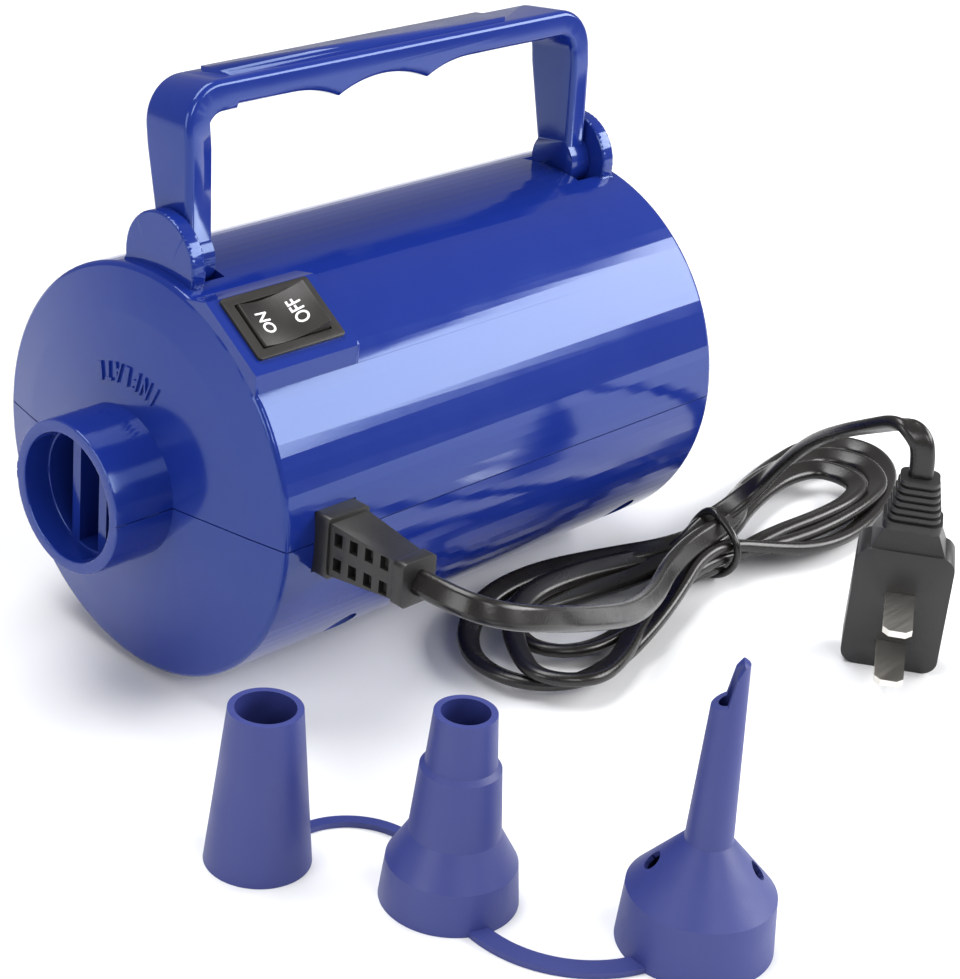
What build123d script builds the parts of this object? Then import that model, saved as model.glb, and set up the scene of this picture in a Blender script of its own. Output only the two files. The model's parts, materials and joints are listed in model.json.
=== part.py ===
from build123d import *
import math
import os

# Mains electric air pump: a blue barrel with an inflate port at its -X end and a deflate port at its +X
# end, a swinging carrying handle, a rocker switch, a tied mains cord and a set of three nozzles.
# All sizes are in millimetres. The barrel's axis lies along X. The origin is on the floor, under the
# barrel's middle. The switch and the cord are on the -Y side. +Z is up.

# Barrel and end faces
barrel_radius = 44.0
barrel_length = 129.5
shell_wall = 2.4
runner_height = 2.0
face_ring_radius = 34.5
face_ring_rise = 2.0
face_rise = 5.3
rim_fillet = 1.2
seam_width = 0.3
seam_depth = 0.35

# Ports
port_radius = 16.1
port_bore_radius = 13.5
port_duct_radius = 13.0
inflate_port_reach = 19.4
deflate_port_reach = 15.0
slat_setback = 6.0
slat_depth = 6.0
slat_thickness = 2.4
slat_offset = 4.2

# Runners and rating plate plinth under the barrel
runner_length = 96.0
runner_width = 3.2
runner_offset = 10.8
plinth_length = 34.0
plinth_width = 16.0

# Screw towers
screw_front_x = -36.0
screw_rear_x = 53.0
screw_offset_y = 31.0
tower_radius = 3.8
screw_core_radius = 1.2
screw_clearance_radius = 1.7
screw_head_radius = 3.1
screw_head_height = 2.2
screw_seat_depth = 12.0
screw_bite = 9.0

# Handle and its ears
pivot_height = 45.3
ear_radius = 10.5
ear_setback = 2.6
ear_thickness = 3.4
hub_side_gap = 0.3
arm_thickness = 5.7
arm_end_half_width = 4.75
hub_radius = 6.2
pin_cap = 1.2
grip_half_width = 6.75
taper_height = 22.0
handle_height = 35.0
handle_corner = 9.0
handle_edge_radius = 1.4
handle_lean = 8.0
handle_swing = 65.0
underside_height = 29.4
cusp_height = 26.8
finger_width = 25.4
finger_shift = -5.0
finger_run = 12.4
strip_rise = 0.8
strip_half_width = 4.4
pin_radius = 2.0
pin_running_gap = 0.05
pocket_radius = 6.6
pocket_tub_radius = 9.0
arm_sweep_half_width = 5.7

# Switch pad and rocker switch
pad_tilt = 33.0
pad_height = 45.8
pad_length = 28.0
pad_near = 10.3
pad_far = 7.9
pad_slope = 6.0
pad_shift = 1.0
pad_corner = 1.5
bezel_length = 22.6
bezel_width = 14.9
bezel_rise = 0.7
switch_body_length = 19.6
switch_body_width = 12.7
switch_body_depth = 12.0
well_length = 18.0
well_width = 10.9
well_floor = 1.2
rocker_width = 10.4
rocker_radius = 8.6
rocker_pivot_depth = 1.0
rocker_floor_depth = 5.0
rocker_tip_height = 3.6
rocker_middle_height = 1.6
rocker_tilt = 10.0
stub_radius = 1.2
stub_reach = 0.7
stub_gap = 0.05
terminal_width = 4.8
terminal_thickness = 0.8
terminal_length = 6.5
terminal_spacing = 10.0

# Motor
shaft_radius = 1.6
shaft_front_x = -41.0
shaft_rear_x = 40.0
can_radius = 17.9
can_wall = 1.2
can_front_x = -34.0
can_rear_x = 19.0
can_end_wall = 1.5
cap_thickness = 3.0
cap_plug_depth = 2.0
cap_plug_wall = 2.0
bearing_radius = 3.5
bearing_running_gap = 0.03
bearing_boss_radius = 5.6
front_boss_reach = 3.0
rear_boss_reach = 3.5
magnet_thickness = 3.1
magnet_front_x = -20.0
magnet_rear_x = 14.0
magnet_half_angle = 60.0
core_radius = 13.0
core_front_x = -14.0
core_rear_x = 10.0
slot_count = 5
slot_width = 4.4
slot_mouth = 1.6
slot_bottom_radius = 5.5
slot_top_radius = 11.2
winding_radius = 11.2
winding_hub_radius = 4.2
winding_overhang = 5.0
commutator_radius = 5.5
commutator_front_x = -30.0
commutator_rear_x = -21.0
commutator_groove = 0.5
brush_gap = 0.06
brush_length = 6.0
brush_width = 4.0
brush_front_x = -28.0
carrier_wall = 1.2
motor_screw_circle = 12.5
motor_screw_radius = 1.4
motor_screw_head_radius = 2.6
motor_screw_head_height = 1.8

# Plates that carry the motor and the fan
plate_radius = 41.4
rail_radius = 37.6
rail_thickness = 2.0
cradle_front_x = -28.0
cradle_thickness = 4.0
cradle_ring_wall = 2.0
cradle_gap = 0.1
cradle_arm_width = 4.0
stator_thickness = 3.0
stator_opening_inner = 21.0
stator_opening_outer = 34.0
stator_opening_count = 8
stator_opening_angle = 15.0
stator_vane_count = 11
stator_vane_thickness = 1.2
stator_vane_inner = 36.2
stator_vane_reach = 15.0
baffle_x = 42.0
baffle_thickness = 2.0
baffle_eye_radius = 15.5

# Impeller
impeller_front_x = 26.0
impeller_radius = 34.8
impeller_plate = 1.8
impeller_vane_height = 9.0
impeller_shroud = 1.4
impeller_hub_radius = 6.0
impeller_eye_radius = 15.0
impeller_vane_count = 9
impeller_vane_thickness = 1.2
impeller_vane_inner = 13.0
impeller_vane_sweep = 48.0
nut_radius = 4.0
nut_length = 2.6

# Rectifier board
board_front_x = -18.0
board_length = 32.0
board_width = 26.0
board_thickness = 1.6
board_top = -29.4
board_post_radius = 2.0
board_post_inset = 3.0
lead_radius = 0.8

# Strain relief
relief_x = -51.95
relief_flange_length = 11.0
relief_flange_height = 13.4
relief_flange_outer_y = -47.6
relief_flange_inner_y = -43.0
relief_neck_length = 8.0
relief_neck_height = 8.6
relief_retainer_inner_y = -38.6
relief_retainer_outer_y = -40.9
relief_root_length = 9.8
relief_root_height = 11.4
relief_tip_length = 7.4
relief_tip_height = 8.2
relief_tip_y = -64.6
relief_end_y = -67.5
relief_collar_length = 9.0
relief_collar_height = 9.6
relief_slot_count = 4
relief_slot_width = 2.1
relief_slot_height = 2.8
relief_slot_offset = 2.7
relief_slot_pitch = 4.0
relief_slot_depth = 2.3

# Cord
cord_diameter = 5.4
tie_x = 68.0
tie_y = -48.5
waist_width = 15.0
waist_height = 14.4
waist_corner = 6.0
waist_half_length = 10.0
tie_thickness = 1.6
tie_length = 1.8
lobe_height = 8.0
lobe_corner = 9.0
cord_level = 12.6

# Plug
plug_base = (66.4, -101.4)
plug_facing = 214.0
plug_tilt = 4.0
plug_width = 21.4
plug_height = 30.0
plug_depth = 11.0
plug_corner = 3.4
shoulder_top = 34.6
flange_top = 36.6
neck_top = 46.4
neck_centre = 5.5
neck_rib_count = 6
blade_width = 6.35
blade_thickness = 1.5
blade_length = 15.6
blade_root = 5.0
blade_low = 6.2
blade_spacing = 12.7
blade_tip_cut = 1.4

# Nozzle set
nozzle_wall = 1.3
cone_place = (-91.0, -68.5)
cone_height = 33.0
cone_base_radius = 10.3
cone_top_radius = 7.1
stepped_place = (-71.5, -100.0)
stepped_outline = [(0.0, 13.2), (8.5, 12.4), (15.0, 8.7), (28.6, 7.6), (29.6, 6.7), (40.0, 5.9)]
needle_place = (-46.0, -138.5)
needle_skirt_height = 11.5
needle_skirt_radius = 14.8
needle_shoulder_radius = 14.0
needle_root_height = 22.5
needle_root_radius = 4.5
needle_tip_height = 59.0
needle_tip_radius = 2.8
needle_notch_height = 49.5
needle_azimuth = -48.5
bleed_hole_radius = 2.0
bleed_hole_height = 16.5
strap_thickness = 1.2
short_strap_width = 2.4
long_strap_width = 4.0

# Worked out from the sizes above
half_length = barrel_length / 2
axis_height = barrel_radius + runner_height
ear_outer_x = half_length - ear_setback
ear_inner_x = ear_outer_x - ear_thickness
arm_outer_x = ear_inner_x - hub_side_gap
arm_inner_x = arm_outer_x - arm_thickness
pocket_inner_x = arm_inner_x - hub_side_gap
pin_inner_x = arm_inner_x + pin_cap
pad_x = -half_length + pad_length / 2
stator_x = can_rear_x
long_reach = 4 * barrel_radius

lift = Pos(0, 0, axis_height)
to_x_axis = Rot(0, 90, 0)
pad_normal = (0, -math.sin(math.radians(pad_tilt)), math.cos(math.radians(pad_tilt)))
pad_up = (0, math.cos(math.radians(pad_tilt)), math.sin(math.radians(pad_tilt)))
pad_centre = (pad_x, pad_height * pad_normal[1] + pad_shift * pad_up[1],
              pad_height * pad_normal[2] + pad_shift * pad_up[2])
pad_plane = Plane(origin=pad_centre, x_dir=(1, 0, 0), z_dir=pad_normal)

os.makedirs("parts", exist_ok=True)


def save(name, *solids):
    export_step(Compound(list(solids)) if len(solids) > 1 else solids[0], f"parts/{name}.step")


def block(x0, x1, y0, y1, z0, z1):
    return Pos((x0 + x1) / 2, (y0 + y1) / 2, (z0 + z1) / 2) * Box(abs(x1 - x0), abs(y1 - y0), abs(z1 - z0))


def x_rod(radius, x0, x1, y=0, z=0):
    return Pos((x0 + x1) / 2, y, z) * to_x_axis * Cylinder(radius, abs(x1 - x0))


def x_tube(outer, inner, x0, x1):
    return x_rod(outer, x0, x1) - x_rod(inner, x0, x1)


def turned_about_x(points):
    """Solid turned about the barrel's axis from (x, radius) corners."""
    return revolve(make_face(Polyline(*points, close=True)), Axis.X)


def turned_about_z(points):
    """Solid turned about Z from (radius, height) corners."""
    face = make_face(Polyline(*[(radius, 0, height) for radius, height in points], close=True))
    return revolve(face, Axis.Z)


def barrel_outline(inset):
    """Barrel and its two stepped end faces, moved inwards by inset."""
    end = half_length - inset
    half = [(end, barrel_radius - inset), (end + face_ring_rise, face_ring_radius)]
    half += [(end + face_rise, port_radius), (end + face_rise, 0)]
    return [(-x, r) for x, r in reversed(half)] + half


# Housing shells

cavity = turned_about_x(barrel_outline(shell_wall))


def switch_pad():
    """Raised pad with an upright near wall and a sloping far one."""
    drop = pad_height - barrel_radius * 0.75
    lean = math.tan(math.radians(pad_tilt)) * drop
    corners = [(-pad_near, 0), (pad_far, 0), (pad_far + pad_slope, -pad_slope), (pad_far + pad_slope, -drop),
               (-pad_near - lean, -drop)]
    profile = make_face(Polyline(*corners, close=True))
    pad = extrude(Plane.YZ * profile, pad_length / 2, both=True)
    ends = pad.edges().filter_by(lambda e: e.center().X > pad_length / 2 - 0.01 and e.center().Z < 0
                                 and e.center().Z > -drop and e.center().Y < -pad_near)
    return pad_plane * fillet(ends, pad_corner)


def barrel_body():
    """Barrel, ports, ears and pad as one hollow body, before it is parted."""
    outer = turned_about_x(barrel_outline(0))
    rims = outer.edges().filter_by(GeomType.CIRCLE).filter_by(lambda e: abs(e.radius - barrel_radius) < 0.01)
    body = fillet(rims, rim_fillet)
    body += x_rod(port_radius, -half_length - inflate_port_reach, -half_length + shell_wall)
    body += x_rod(port_radius, half_length - shell_wall, half_length + deflate_port_reach)
    for side in (-1, 1):
        body += x_rod(ear_radius, side * ear_inner_x, side * ear_outer_x, z=pivot_height)
    body += switch_pad()
    body -= cavity
    for side in (-1, 1):
        tub_inner = side * (pocket_inner_x - shell_wall)
        tub = x_rod(pocket_tub_radius, tub_inner, side * (ear_inner_x + shell_wall), z=pivot_height)
        body += tub & outer
    return body


def arm_sweep(side):
    """Space that one handle arm and its hub need beside their ear over the whole swing."""
    x0 = side * pocket_inner_x
    x1 = side * ear_inner_x
    sweep = x_rod(pocket_radius, x0, x1)
    for step in range(11):
        angle = handle_swing * (step / 5 - 1)
        x_low, x_high = min(x0, x1), max(x0, x1)
        arm = block(x_low, x_high, -arm_sweep_half_width, arm_sweep_half_width, 0, handle_height)
        sweep += Rot(angle, 0, 0) * arm
    return Pos(0, 0, pivot_height) * sweep


def port_slats(mouth_x, inward):
    """Upright guard slats inside a port."""
    slats = Part()
    x0 = mouth_x + inward * slat_setback
    x1 = x0 + inward * slat_depth
    for side in (-1, 1):
        y0 = side * slat_offset - slat_thickness / 2
        slats += block(min(x0, x1), max(x0, x1), y0, y0 + slat_thickness, -port_radius, port_radius)
    return slats & x_rod(port_duct_radius + 0.5, min(x0, x1), max(x0, x1))


def plate_rails(x0, x1):
    """Rings inside the shell that hold the rim of a plate between them."""
    rails = x_tube(barrel_radius - shell_wall / 2, rail_radius, x0 - rail_thickness, x0)
    rails += x_tube(barrel_radius - shell_wall / 2, rail_radius, x1, x1 + rail_thickness)
    return rails


def seam_groove():
    """Fine groove along the parting line, round the barrel, its faces and its ports."""
    reach = half_length + inflate_port_reach + 1
    slab = block(-reach, reach, -long_reach, long_reach, -seam_width / 2, seam_width / 2)
    keep = turned_about_x(barrel_outline(seam_depth))
    keep += x_rod(port_radius - seam_depth, -reach, reach)
    return slab - keep


def housing_shells():
    body = barrel_body()
    inflate_mouth = -half_length - inflate_port_reach
    deflate_mouth = half_length + deflate_port_reach
    inner_face = half_length - shell_wall - 1
    for mouth_x, inward in ((inflate_mouth, 1), (deflate_mouth, -1)):
        body -= x_rod(port_bore_radius, mouth_x, mouth_x + inward * slat_setback)
        body -= x_rod(port_duct_radius, mouth_x, -inward * inner_face)
    body += port_slats(inflate_mouth, 1)
    body += port_slats(deflate_mouth, -1)
    body += plate_rails(cradle_front_x, cradle_front_x + cradle_thickness)
    body += plate_rails(stator_x, stator_x + stator_thickness)
    body += plate_rails(baffle_x, baffle_x + baffle_thickness)
    for side in (-1, 1):
        body -= arm_sweep(side)
        pin_hole_outer = side * (ear_inner_x + ear_thickness * 0.6)
        body -= x_rod(pin_radius, side * arm_inner_x, pin_hole_outer, z=pivot_height)
    body -= pad_plane * Pos(0, 0, -long_reach / 8) * Box(switch_body_length, switch_body_width, long_reach / 4)
    body -= relief_flange_block()
    body -= relief_neck_block(relief_flange_inner_y, relief_retainer_outer_y + 2)
    body -= seam_groove()

    upper = body & block(-long_reach, long_reach, -long_reach, long_reach, 0, long_reach)
    lower = body & block(-long_reach, long_reach, -long_reach, long_reach, -long_reach, 0)
    for x, y in screw_places():
        tower = Pos(x, y, barrel_radius / 2) * Cylinder(tower_radius, barrel_radius)
        pilot = Pos(x, y, screw_bite / 2) * Cylinder(screw_core_radius, screw_bite)
        upper += tower & cavity
        upper -= pilot
        tower = Pos(x, y, -barrel_radius / 2) * Cylinder(tower_radius, barrel_radius)
        hole = Pos(x, y, -barrel_radius / 2) * Cylinder(screw_clearance_radius, barrel_radius)
        access_depth = barrel_radius - screw_seat_depth
        access = Pos(x, y, -screw_seat_depth - access_depth / 2) * Cylinder(screw_head_radius + 0.3, access_depth)
        lower += tower & cavity
        lower -= hole + access
    for x, y in board_post_places():
        post_top = board_top - board_thickness
        post = Pos(x, y, (post_top - barrel_radius) / 2) * Cylinder(board_post_radius, post_top + barrel_radius)
        lower += post & cavity
    feet = block(-plinth_length / 2, plinth_length / 2, -plinth_width / 2, plinth_width / 2,
                 -axis_height, -barrel_radius / 2)
    for side in (-1, 1):
        y0 = side * runner_offset - runner_width / 2
        feet += block(-runner_length / 2, runner_length / 2, y0, y0 + runner_width, -axis_height, -barrel_radius / 2)
    lower += feet - turned_about_x(barrel_outline(shell_wall / 2))
    return upper, lower


def screw_places():
    return [(x, side * screw_offset_y) for x in (screw_front_x, screw_rear_x) for side in (-1, 1)]


def housing_screws():
    head_top = -screw_seat_depth
    screws = []
    for x, y in screw_places():
        head = Pos(x, y, head_top - screw_head_height / 2) * Cylinder(screw_head_radius, screw_head_height)
        shank_length = screw_seat_depth + screw_bite
        shank = Pos(x, y, head_top + shank_length / 2) * Cylinder(screw_core_radius, shank_length)
        slot = Pos(x, y, head_top - screw_head_height) * Box(screw_head_radius, 0.8, 1.2)
        cross = Pos(x, y, head_top - screw_head_height) * Box(0.8, screw_head_radius, 1.2)
        screws.append(head + shank - slot - cross)
    return screws


def handle_pins():
    inner_x = pin_inner_x
    outer_x = ear_inner_x + ear_thickness * 0.6
    return [x_rod(pin_radius, side * inner_x, side * outer_x, z=pivot_height) for side in (-1, 1)]


# Handle

def handle_opening():
    """Outline of the hand gap, with two finger cusps on the grip's underside."""
    first_cusp = finger_shift - finger_width / 2
    second_cusp = finger_shift + finger_width / 2
    step_x = first_cusp - finger_width - 2
    bend = 4.0
    side_top = underside_height - bend
    low = -2 * arm_end_half_width
    step_height = underside_height - 0.8
    sag = 0.8
    left_mid = (-arm_inner_x + bend * 0.3, step_height - bend * 0.3)
    right_mid = (arm_inner_x - bend * 0.3, underside_height - bend * 0.3)
    edges = [
        Line((-arm_inner_x, low), (-arm_inner_x, side_top)),
        ThreePointArc((-arm_inner_x, side_top), left_mid, (-arm_inner_x + bend, step_height)),
        Line((-arm_inner_x + bend, step_height), (step_x, step_height)),
        Line((step_x, step_height), (step_x + 0.5, underside_height)),
        Line((step_x + 0.5, underside_height), (first_cusp - finger_run, underside_height)),
        ThreePointArc(
            (first_cusp - finger_run, underside_height),
            (first_cusp - finger_run * 0.44, underside_height - sag),
            (first_cusp, cusp_height),
        ),
        ThreePointArc((first_cusp, cusp_height), (finger_shift, underside_height), (second_cusp, cusp_height)),
        ThreePointArc(
            (second_cusp, cusp_height),
            (second_cusp + finger_run * 0.44, underside_height - sag),
            (second_cusp + finger_run, underside_height),
        ),
        Line((second_cusp + finger_run, underside_height), (arm_inner_x - bend, underside_height)),
        ThreePointArc((arm_inner_x - bend, underside_height), right_mid, (arm_inner_x, side_top)),
        Line((arm_inner_x, side_top), (arm_inner_x, low)),
        Line((arm_inner_x, low), (-arm_inner_x, low)),
    ]
    return make_face(edges)


def handle():
    """Bail handle, upright about its pivot, then leaned back to its resting angle."""
    tall = handle_height + arm_end_half_width
    outline = Pos(0, (handle_height - arm_end_half_width) / 2) * Rectangle(2 * arm_outer_x, tall)
    top_corners = outline.vertices().group_by(Axis.Y)[-1]
    outline = fillet(top_corners, handle_corner)
    outline -= handle_opening()
    bail = Plane.XZ * outline
    bail = extrude(bail, grip_half_width, both=True)
    arm = arm_end_half_width
    top = handle_height + 1
    edges = [
        ThreePointArc((-arm, 0), (0, -arm), (arm, 0)),
        Polyline((arm, 0), (grip_half_width, taper_height), (grip_half_width, top),
                 (-grip_half_width, top), (-grip_half_width, taper_height), (-arm, 0)),
    ]
    width_profile = Plane.YZ * make_face(edges)
    bail = bail & extrude(width_profile, arm_outer_x + 1, both=True)
    side_edges = bail.edges().filter_by(lambda e: abs(abs(e.center().Y) - grip_half_width) < 0.05)
    bail = fillet(side_edges.filter_by(lambda e: e.center().Z > handle_height - handle_corner), handle_edge_radius)
    strip_start = finger_shift - 1.5 * finger_width - 2
    strip_end = finger_shift + 1.5 * finger_width
    bail += block(strip_start, strip_end, -strip_half_width, strip_half_width,
                  handle_height - 1, handle_height + strip_rise)
    for side in (-1, 1):
        bail += x_rod(hub_radius, side * arm_inner_x, side * arm_outer_x)
        bail -= x_rod(pin_radius + pin_running_gap, side * (pin_inner_x - pin_running_gap), side * long_reach)
    return Pos(0, 0, pivot_height) * Rot(-handle_lean, 0, 0) * bail


# Rocker switch

def switch_bezel():
    frame = extrude(RectangleRounded(bezel_length, bezel_width, 0.8), bezel_rise)
    frame += Pos(0, 0, -switch_body_depth / 2) * Box(switch_body_length, switch_body_width, switch_body_depth)
    well_depth = switch_body_depth - well_floor
    frame -= Pos(0, 0, bezel_rise - (well_depth + bezel_rise) / 2) * Box(
        well_length, well_width, well_depth + bezel_rise)
    frame -= Pos(0, 0, -rocker_pivot_depth) * Rot(90, 0, 0) * Cylinder(
        stub_radius + stub_gap, rocker_width + 2 * stub_reach + 0.4)
    return pad_plane * frame


def rocker():
    """Rocker cap, turned about its stubs so that its -X half is pressed in."""
    tip_x = math.sqrt(rocker_radius ** 2 - rocker_tip_height ** 2)
    floor_x = math.sqrt(rocker_radius ** 2 - rocker_floor_depth ** 2)
    edges = [
        ThreePointArc((-tip_x, rocker_tip_height), (0, rocker_middle_height), (tip_x, rocker_tip_height)),
        ThreePointArc((tip_x, rocker_tip_height), (rocker_radius, 0), (floor_x, -rocker_floor_depth)),
        Line((floor_x, -rocker_floor_depth), (-floor_x, -rocker_floor_depth)),
        ThreePointArc((-floor_x, -rocker_floor_depth), (-rocker_radius, 0), (-tip_x, rocker_tip_height)),
    ]
    cap = extrude(Plane.XZ * make_face(edges), rocker_width / 2, both=True)
    cap += Rot(90, 0, 0) * Cylinder(stub_radius, rocker_width + 2 * stub_reach)
    return pad_plane * Pos(0, 0, -rocker_pivot_depth) * Rot(0, -rocker_tilt, 0) * cap


def switch_terminals():
    terminals = []
    for side in (-1, 1):
        blade = Pos(side * terminal_spacing / 2, 0, -switch_body_depth - terminal_length / 2) * Box(
            terminal_thickness, terminal_width, terminal_length)
        terminals.append(pad_plane * blade)
    return terminals


# Motor

def motor_can():
    can = x_tube(can_radius, can_radius - can_wall, can_front_x, can_rear_x)
    can += x_rod(can_radius, can_rear_x - can_end_wall, can_rear_x)
    can += x_rod(bearing_boss_radius, can_rear_x, can_rear_x + rear_boss_reach)
    can -= x_rod(bearing_radius, can_rear_x - can_end_wall, can_rear_x + rear_boss_reach)
    for side in (-1, 1):
        can -= x_rod(motor_screw_radius, can_rear_x - can_end_wall, can_rear_x, y=side * motor_screw_circle)
    return can


def motor_end_cap():
    inner_radius = can_radius - can_wall
    cap = x_rod(can_radius, can_front_x - cap_thickness, can_front_x)
    cap += x_tube(inner_radius, inner_radius - cap_plug_wall, can_front_x, can_front_x + cap_plug_depth)
    cap += x_rod(bearing_boss_radius, can_front_x - cap_thickness - front_boss_reach, can_front_x)
    cap -= x_rod(bearing_radius, can_front_x - cap_thickness - front_boss_reach, can_front_x)
    for side in (-1, 1):
        inner_y = commutator_radius + brush_gap
        y0, y1 = inner_y + 1.2, inner_y + brush_length + 0.8
        half_high = brush_width / 2 + carrier_wall
        carrier = block(can_front_x, brush_front_x + brush_width + carrier_wall,
                        side * y0, side * y1, -half_high, half_high)
        cap += carrier - brush(side)
    return cap


def brush(side):
    inner_y = commutator_radius + brush_gap
    return block(brush_front_x, brush_front_x + brush_width, side * inner_y, side * (inner_y + brush_length),
                 -brush_width / 2, brush_width / 2)


def bearing(x0, x1):
    return x_tube(bearing_radius, shaft_radius + bearing_running_gap, x0, x1)


def motor_magnets():
    outer = can_radius - can_wall
    ring = x_tube(outer, outer - magnet_thickness, magnet_front_x, magnet_rear_x)
    gap_angle = 90 - magnet_half_angle
    reach = can_radius * 2
    wedge_y = reach * math.cos(math.radians(gap_angle))
    wedge_z = reach * math.sin(math.radians(gap_angle))
    magnets = []
    for side in (-1, 1):
        corners = [(0, 0), (-wedge_y, side * wedge_z), (-wedge_y, side * reach),
                   (wedge_y, side * reach), (wedge_y, side * wedge_z)]
        wedge = extrude(Plane.YZ * make_face(Polyline(*corners, close=True)), long_reach, both=True)
        magnets.append(ring & wedge)
    return magnets


def slot_cutters():
    cutters = Part()
    for index in range(slot_count):
        slot = block(core_front_x, core_rear_x, -slot_width / 2, slot_width / 2, slot_bottom_radius, slot_top_radius)
        slot += block(core_front_x, core_rear_x, -slot_mouth / 2, slot_mouth / 2, slot_top_radius, core_radius + 1)
        cutters += Rot(index * 360 / slot_count, 0, 0) * slot
    return cutters


def armature_core():
    core = x_rod(core_radius, core_front_x, core_rear_x) - slot_cutters()
    return core - x_rod(shaft_radius, core_front_x, core_rear_x)


def armature_windings(core):
    front, rear = core_front_x - winding_overhang, core_rear_x + winding_overhang
    windings = x_tube(winding_radius, winding_hub_radius, front, rear)
    return windings - core - x_rod(slot_bottom_radius, core_front_x, core_rear_x)


def commutator():
    ring = x_tube(commutator_radius, shaft_radius, commutator_front_x, commutator_rear_x)
    for index in range(slot_count):
        groove = block(commutator_front_x, commutator_rear_x - 1.5, -commutator_groove / 2, commutator_groove / 2,
                       commutator_radius - commutator_groove, commutator_radius + 1)
        ring -= Rot((index + 0.5) * 360 / slot_count, 0, 0) * groove
    return ring


def motor_screws():
    screws = []
    for side in (-1, 1):
        face = stator_x + stator_thickness
        y = side * motor_screw_circle
        head = x_rod(motor_screw_head_radius, face, face + motor_screw_head_height, y=y)
        screws.append(head + x_rod(motor_screw_radius, can_rear_x - can_end_wall, face, y=y))
    return screws


# Plates and fan

def motor_cradle():
    inner = can_radius + cradle_gap
    rear_x = cradle_front_x + cradle_thickness
    cradle = x_tube(inner + cradle_ring_wall, inner, cradle_front_x, rear_x)
    for index in range(4):
        arm = block(cradle_front_x, rear_x, -cradle_arm_width / 2, cradle_arm_width / 2, inner + 1, plate_radius)
        cradle += Rot(45 + index * 90, 0, 0) * (arm & x_rod(plate_radius, cradle_front_x, rear_x))
    return cradle


def stator_vanes():
    """Plate behind the impeller that carries the motor, with air openings and fixed vanes round the fan."""
    rear_x = stator_x + stator_thickness
    plate = x_rod(plate_radius, stator_x, rear_x) - x_rod(bearing_boss_radius, stator_x, rear_x)
    for side in (-1, 1):
        plate -= x_rod(motor_screw_radius, stator_x, rear_x, y=side * motor_screw_circle)
    ring = x_tube(stator_opening_outer, stator_opening_inner, stator_x, rear_x)
    reach = stator_opening_outer * 2
    tangent = math.tan(math.radians(stator_opening_angle))
    wedge_face = Plane.YZ * make_face(Polyline((0, 0), (-reach * tangent, reach), (reach * tangent, reach), close=True))
    opening = ring & extrude(wedge_face, long_reach, both=True)
    for index in range(stator_opening_count):
        plate -= Rot(index * 360 / stator_opening_count, 0, 0) * opening
    vane = block(rear_x, rear_x + stator_vane_reach, -stator_vane_thickness / 2, stator_vane_thickness / 2,
                 stator_vane_inner, rail_radius - 0.1)
    for index in range(stator_vane_count):
        plate += Rot(index * 360 / stator_vane_count, 0, 0) * vane
    return plate


def fan_baffle():
    rear_x = baffle_x + baffle_thickness
    return x_rod(plate_radius, baffle_x, rear_x) - x_rod(baffle_eye_radius, baffle_x, rear_x)


def fan_vane():
    """One backward swept vane, drawn about Z."""
    def at(radius, angle):
        return (radius * math.cos(math.radians(angle)), radius * math.sin(math.radians(angle)))

    outer = impeller_radius - 0.5
    middle = (impeller_vane_inner + outer) / 2
    turn = math.degrees(impeller_vane_thickness / middle)
    mid_angle = impeller_vane_sweep * 0.42
    near = (at(impeller_vane_inner, 0), at(middle, mid_angle), at(outer, impeller_vane_sweep))
    far = (at(impeller_vane_inner, turn * 2), at(middle, mid_angle + turn), at(outer, impeller_vane_sweep + turn))
    edges = [ThreePointArc(*near), Line(near[2], far[2]), ThreePointArc(*reversed(far)), Line(far[0], near[0])]
    return make_face(edges)


def impeller():
    vane_x = impeller_front_x + impeller_plate
    shroud_x = vane_x + impeller_vane_height
    fan = x_rod(impeller_radius, impeller_front_x, vane_x)
    fan += x_rod(impeller_hub_radius, impeller_front_x, shroud_x)
    fan += x_tube(impeller_radius, impeller_eye_radius, shroud_x, shroud_x + impeller_shroud)
    vane = Pos(vane_x, 0, 0) * to_x_axis * extrude(fan_vane(), impeller_vane_height)
    for index in range(impeller_vane_count):
        fan += Rot(index * 360 / impeller_vane_count, 0, 0) * vane
    return fan - x_rod(shaft_radius, impeller_front_x, shroud_x)


def impeller_nut():
    x0 = impeller_front_x + impeller_plate + impeller_vane_height
    hexagon = Pos(x0, 0, 0) * to_x_axis * extrude(RegularPolygon(nut_radius, 6), nut_length)
    return hexagon - x_rod(shaft_radius, x0, x0 + nut_length)


# Electrics

def board_post_places():
    x0 = board_front_x + board_post_inset
    x1 = board_front_x + board_length - board_post_inset
    y = board_width / 2 - board_post_inset
    return [(x, side * y) for x in (x0, x1) for side in (-1, 1)]


def rectifier_board():
    return block(board_front_x, board_front_x + board_length, -board_width / 2, board_width / 2,
                 board_top - board_thickness, board_top)


def board_components():
    bridge = block(board_front_x + 12, board_front_x + 27, 3, 8, board_top, board_top + 8)
    capacitor = Pos(board_front_x + 8, -6, board_top + 5) * Cylinder(3.2, 10)
    resistor = block(board_front_x + 16, board_front_x + 24, -9, -6, board_top, board_top + 3)
    return [bridge, capacitor, resistor]


def tube(points, radii, radius):
    """Round tube along straight runs joined by tangent arcs."""
    path = FilletPolyline(*points, radius=radii)
    section = Plane(origin=path @ 0, z_dir=path % 0) * Circle(radius)
    return sweep(section, path=path)


def terminal_end(side):
    depth = switch_body_depth + terminal_length
    spot = pad_plane.from_local_coords((side * terminal_spacing / 2, 0, -depth))
    return (spot.X, spot.Y, spot.Z)


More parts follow.
